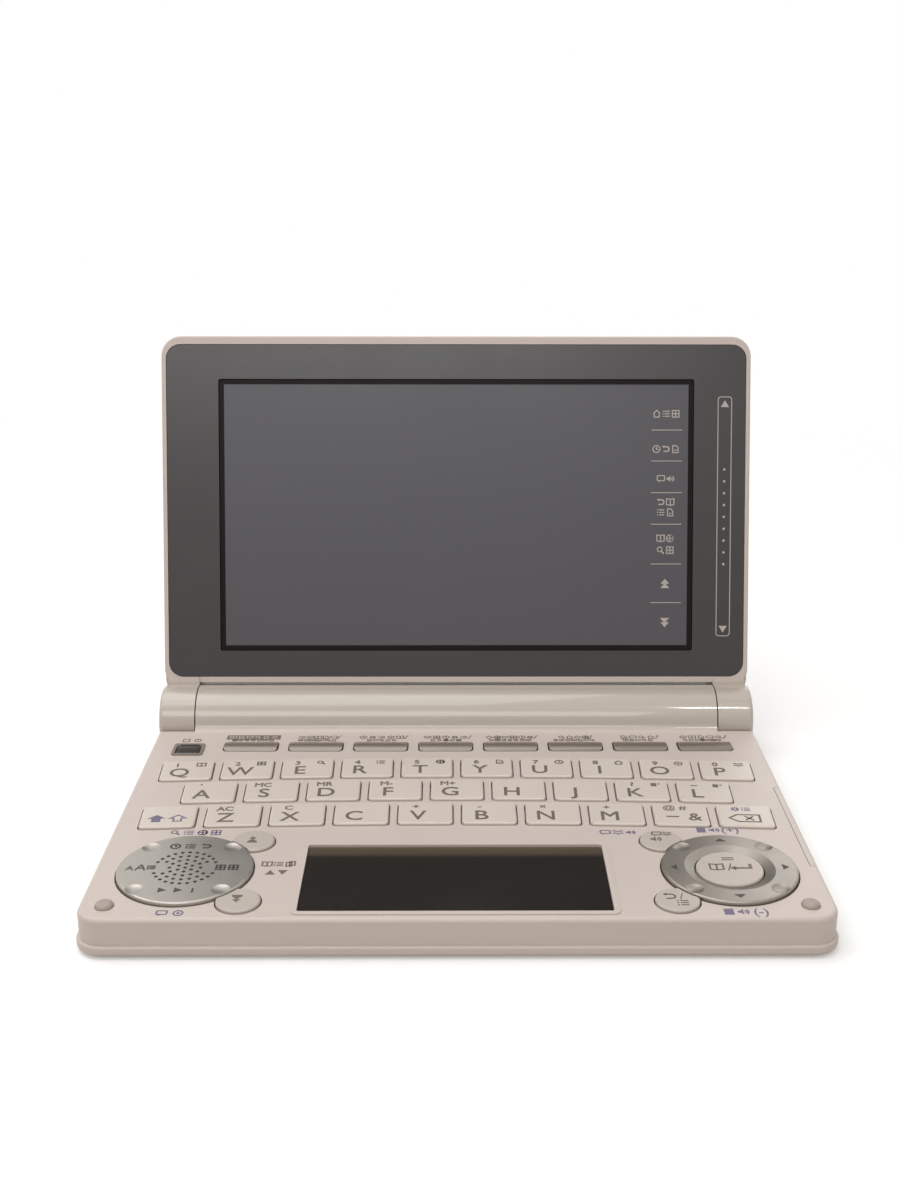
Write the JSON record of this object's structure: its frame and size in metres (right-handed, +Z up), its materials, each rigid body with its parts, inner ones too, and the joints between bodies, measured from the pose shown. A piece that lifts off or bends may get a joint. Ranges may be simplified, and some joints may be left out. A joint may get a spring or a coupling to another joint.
{
  "type": "electronic dictionary",
  "caption": "Clamshell electronic dictionary with letter keys, two round controls, a writing panel, a hinged wide display and a battery barrel.",
  "frame": {"origin": "on the table, in the middle of the box that the open object fills", "axes": "+X to the user's right, +Y away from the user, +Z up"},
  "size_m": [0.1492, 0.1289, 0.1011],
  "materials": {
    "case_plastic": "warm grey-white ABS, finely textured",
    "key_plastic": "off-white moulded ABS, satin",
    "silver_paint": "silver-painted ABS",
    "shortcut_paint": "grey metallic paint on ABS",
    "bezel_plastic": "dark brown-grey, satin",
    "display_glass": "anti-glare glass over an unlit panel",
    "panel_glass": "dark resistive touch panel",
    "power_plastic": "dark, glossy",
    "stylus_plastic": "as the case",
    "rubber": "moulded",
    "mat_rubber": "silicone",
    "steel": "plain",
    "board": "solder-masked fibreglass",
    "cell_can": "steel can with a plain sleeve"
  },
  "bodies": {
    "base": {"lower_case": "case_plastic", "upper_case": "case_plastic", "battery_cells": "cell_can", "main_board": "board", "key_mat": "mat_rubber", "sub_display": "panel_glass", "case_screws": "steel", "rubber_feet": "rubber", "hinge_pins": "steel"},
    "lid": {"lid_rear_cover": "case_plastic", "lid_front_frame": "case_plastic", "screen_bezel": "bezel_plastic", "main_display": "display_glass"},
    "stylus_body": {"stylus": "stylus_plastic"},
    "cover_body": {"battery_cover": "case_plastic"},
    "cursor_ring_body": {"cursor_ring": "silver_paint"},
    "speaker_disc_body": {"speaker_disc": "silver_paint"},
    "enter_key_body": {"enter_key": "key_plastic"},
    "page_up_key_body": {"page_up_key": "key_plastic"},
    "page_down_key_body": {"page_down_key": "key_plastic"},
    "voice_key_body": {"voice_key": "key_plastic"},
    "back_key_body": {"back_key": "key_plastic"},
    "power_key_body": {"power_key": "power_plastic"},
    "shortcut_key_1_body": {"shortcut_key_1": "shortcut_paint"},
    "key_q_body": {"key_q": "key_plastic"},
    "key_g_body": {"key_g": "key_plastic"},
    "key_w_body": {"key_w": "key_plastic"},
    "key_e_body": {"key_e": "key_plastic"},
    "key_r_body": {"key_r": "key_plastic"},
    "key_t_body": {"key_t": "key_plastic"},
    "key_y_body": {"key_y": "key_plastic"},
    "key_u_body": {"key_u": "key_plastic"},
    "key_i_body": {"key_i": "key_plastic"},
    "key_o_body": {"key_o": "key_plastic"},
    "key_p_body": {"key_p": "key_plastic"},
    "key_a_body": {"key_a": "key_plastic"},
    "key_s_body": {"key_s": "key_plastic"},
    "key_d_body": {"key_d": "key_plastic"},
    "key_f_body": {"key_f": "key_plastic"},
    "key_h_body": {"key_h": "key_plastic"},
    "key_j_body": {"key_j": "key_plastic"},
    "key_k_body": {"key_k": "key_plastic"},
    "key_l_body": {"key_l": "key_plastic"},
    "key_shift_body": {"key_shift": "key_plastic"},
    "key_z_body": {"key_z": "key_plastic"},
    "key_x_body": {"key_x": "key_plastic"},
    "key_c_body": {"key_c": "key_plastic"},
    "key_v_body": {"key_v": "key_plastic"},
    "key_b_body": {"key_b": "key_plastic"},
    "key_n_body": {"key_n": "key_plastic"},
    "key_m_body": {"key_m": "key_plastic"},
    "key_symbol_body": {"key_symbol": "key_plastic"},
    "key_delete_body": {"key_delete": "key_plastic"},
    "shortcut_key_2_body": {"shortcut_key_2": "shortcut_paint"},
    "shortcut_key_3_body": {"shortcut_key_3": "shortcut_paint"},
    "shortcut_key_4_body": {"shortcut_key_4": "shortcut_paint"},
    "shortcut_key_5_body": {"shortcut_key_5": "shortcut_paint"},
    "shortcut_key_6_body": {"shortcut_key_6": "shortcut_paint"},
    "shortcut_key_7_body": {"shortcut_key_7": "shortcut_paint"},
    "shortcut_key_8_body": {"shortcut_key_8": "shortcut_paint"}
  },
  "joints": [
    {"name": "lid_hinge", "type": "hinge", "parent": "base", "child": "lid", "pos_m": [0, 0.03262, 0.0087], "axis": [-1, 0, 0], "range_deg": [-105.7, 44.3]},
    {"name": "stylus_slide", "type": "slide", "parent": "base", "child": "stylus_body", "axis": [1, 0, 0], "range_m": [0, 0.015]},
    {"name": "battery_cover_slide", "type": "slide", "parent": "base", "child": "cover_body", "axis": [0, 1, 0], "range_m": [0, 0.025]},
    {"name": "cursor_ring_press", "type": "slide", "parent": "base", "child": "cursor_ring_body", "axis": [0, 0, -1], "range_m": [0, 0.0006], "stiffness_N_per_m": 500},
    {"name": "speaker_disc_press", "type": "slide", "parent": "base", "child": "speaker_disc_body", "axis": [0, 0, -1], "range_m": [0, 0.0006], "stiffness_N_per_m": 500},
    {"name": "enter_key_press", "type": "slide", "parent": "base", "child": "enter_key_body", "axis": [0, 0, -1], "range_m": [0, 0.0006], "stiffness_N_per_m": 500},
    {"name": "page_up_key_press", "type": "slide", "parent": "base", "child": "page_up_key_body", "axis": [0, 0, -1], "range_m": [0, 0.0006], "stiffness_N_per_m": 500},
    {"name": "page_down_key_press", "type": "slide", "parent": "base", "child": "page_down_key_body", "axis": [0, 0, -1], "range_m": [0, 0.0006], "stiffness_N_per_m": 500},
    {"name": "voice_key_press", "type": "slide", "parent": "base", "child": "voice_key_body", "axis": [0, 0, -1], "range_m": [0, 0.0006], "stiffness_N_per_m": 500},
    {"name": "back_key_press", "type": "slide", "parent": "base", "child": "back_key_body", "axis": [0, 0, -1], "range_m": [0, 0.0006], "stiffness_N_per_m": 500},
    {"name": "power_key_press", "type": "slide", "parent": "base", "child": "power_key_body", "axis": [0, 0, -1], "range_m": [0, 0.0006], "stiffness_N_per_m": 500},
    {"name": "shortcut_key_1_press", "type": "slide", "parent": "base", "child": "shortcut_key_1_body", "axis": [0, 0, -1], "range_m": [0, 0.0006], "stiffness_N_per_m": 500},
    {"name": "key_q_press", "type": "slide", "parent": "base", "child": "key_q_body", "axis": [0, 0, -1], "range_m": [0, 0.0006], "stiffness_N_per_m": 500},
    {"name": "key_g_press", "type": "slide", "parent": "base", "child": "key_g_body", "axis": [0, 0, -1], "range_m": [0, 0.0006], "stiffness_N_per_m": 500},
    {"name": "key_w_press", "type": "slide", "parent": "base", "child": "key_w_body", "axis": [0, 0, -1], "range_m": [0, 0.0006], "stiffness_N_per_m": 500},
    {"name": "key_e_press", "type": "slide", "parent": "base", "child": "key_e_body", "axis": [0, 0, -1], "range_m": [0, 0.0006], "stiffness_N_per_m": 500},
    {"name": "key_r_press", "type": "slide", "parent": "base", "child": "key_r_body", "axis": [0, 0, -1], "range_m": [0, 0.0006], "stiffness_N_per_m": 500},
    {"name": "key_t_press", "type": "slide", "parent": "base", "child": "key_t_body", "axis": [0, 0, -1], "range_m": [0, 0.0006], "stiffness_N_per_m": 500},
    {"name": "key_y_press", "type": "slide", "parent": "base", "child": "key_y_body", "axis": [0, 0, -1], "range_m": [0, 0.0006], "stiffness_N_per_m": 500},
    {"name": "key_u_press", "type": "slide", "parent": "base", "child": "key_u_body", "axis": [0, 0, -1], "range_m": [0, 0.0006], "stiffness_N_per_m": 500},
    {"name": "key_i_press", "type": "slide", "parent": "base", "child": "key_i_body", "axis": [0, 0, -1], "range_m": [0, 0.0006], "stiffness_N_per_m": 500},
    {"name": "key_o_press", "type": "slide", "parent": "base", "child": "key_o_body", "axis": [0, 0, -1], "range_m": [0, 0.0006], "stiffness_N_per_m": 500},
    {"name": "key_p_press", "type": "slide", "parent": "base", "child": "key_p_body", "axis": [0, 0, -1], "range_m": [0, 0.0006], "stiffness_N_per_m": 500},
    {"name": "key_a_press", "type": "slide", "parent": "base", "child": "key_a_body", "axis": [0, 0, -1], "range_m": [0, 0.0006], "stiffness_N_per_m": 500},
    {"name": "key_s_press", "type": "slide", "parent": "base", "child": "key_s_body", "axis": [0, 0, -1], "range_m": [0, 0.0006], "stiffness_N_per_m": 500},
    {"name": "key_d_press", "type": "slide", "parent": "base", "child": "key_d_body", "axis": [0, 0, -1], "range_m": [0, 0.0006], "stiffness_N_per_m": 500},
    {"name": "key_f_press", "type": "slide", "parent": "base", "child": "key_f_body", "axis": [0, 0, -1], "range_m": [0, 0.0006], "stiffness_N_per_m": 500},
    {"name": "key_h_press", "type": "slide", "parent": "base", "child": "key_h_body", "axis": [0, 0, -1], "range_m": [0, 0.0006], "stiffness_N_per_m": 500},
    {"name": "key_j_press", "type": "slide", "parent": "base", "child": "key_j_body", "axis": [0, 0, -1], "range_m": [0, 0.0006], "stiffness_N_per_m": 500},
    {"name": "key_k_press", "type": "slide", "parent": "base", "child": "key_k_body", "axis": [0, 0, -1], "range_m": [0, 0.0006], "stiffness_N_per_m": 500},
    {"name": "key_l_press", "type": "slide", "parent": "base", "child": "key_l_body", "axis": [0, 0, -1], "range_m": [0, 0.0006], "stiffness_N_per_m": 500},
    {"name": "key_shift_press", "type": "slide", "parent": "base", "child": "key_shift_body", "axis": [0, 0, -1], "range_m": [0, 0.0006], "stiffness_N_per_m": 500},
    {"name": "key_z_press", "type": "slide", "parent": "base", "child": "key_z_body", "axis": [0, 0, -1], "range_m": [0, 0.0006], "stiffness_N_per_m": 500},
    {"name": "key_x_press", "type": "slide", "parent": "base", "child": "key_x_body", "axis": [0, 0, -1], "range_m": [0, 0.0006], "stiffness_N_per_m": 500},
    {"name": "key_c_press", "type": "slide", "parent": "base", "child": "key_c_body", "axis": [0, 0, -1], "range_m": [0, 0.0006], "stiffness_N_per_m": 500},
    {"name": "key_v_press", "type": "slide", "parent": "base", "child": "key_v_body", "axis": [0, 0, -1], "range_m": [0, 0.0006], "stiffness_N_per_m": 500},
    {"name": "key_b_press", "type": "slide", "parent": "base", "child": "key_b_body", "axis": [0, 0, -1], "range_m": [0, 0.0006], "stiffness_N_per_m": 500},
    {"name": "key_n_press", "type": "slide", "parent": "base", "child": "key_n_body", "axis": [0, 0, -1], "range_m": [0, 0.0006], "stiffness_N_per_m": 500},
    {"name": "key_m_press", "type": "slide", "parent": "base", "child": "key_m_body", "axis": [0, 0, -1], "range_m": [0, 0.0006], "stiffness_N_per_m": 500},
    {"name": "key_symbol_press", "type": "slide", "parent": "base", "child": "key_symbol_body", "axis": [0, 0, -1], "range_m": [0, 0.0006], "stiffness_N_per_m": 500},
    {"name": "key_delete_press", "type": "slide", "parent": "base", "child": "key_delete_body", "axis": [0, 0, -1], "range_m": [0, 0.0006], "stiffness_N_per_m": 500},
    {"name": "shortcut_key_2_press", "type": "slide", "parent": "base", "child": "shortcut_key_2_body", "axis": [0, 0, -1], "range_m": [0, 0.0006], "stiffness_N_per_m": 500},
    {"name": "shortcut_key_3_press", "type": "slide", "parent": "base", "child": "shortcut_key_3_body", "axis": [0, 0, -1], "range_m": [0, 0.0006], "stiffness_N_per_m": 500},
    {"name": "shortcut_key_4_press", "type": "slide", "parent": "base", "child": "shortcut_key_4_body", "axis": [0, 0, -1], "range_m": [0, 0.0006], "stiffness_N_per_m": 500},
    {"name": "shortcut_key_5_press", "type": "slide", "parent": "base", "child": "shortcut_key_5_body", "axis": [0, 0, -1], "range_m": [0, 0.0006], "stiffness_N_per_m": 500},
    {"name": "shortcut_key_6_press", "type": "slide", "parent": "base", "child": "shortcut_key_6_body", "axis": [0, 0, -1], "range_m": [0, 0.0006], "stiffness_N_per_m": 500},
    {"name": "shortcut_key_7_press", "type": "slide", "parent": "base", "child": "shortcut_key_7_body", "axis": [0, 0, -1], "range_m": [0, 0.0006], "stiffness_N_per_m": 500},
    {"name": "shortcut_key_8_press", "type": "slide", "parent": "base", "child": "shortcut_key_8_body", "axis": [0, 0, -1], "range_m": [0, 0.0006], "stiffness_N_per_m": 500}
  ]
}
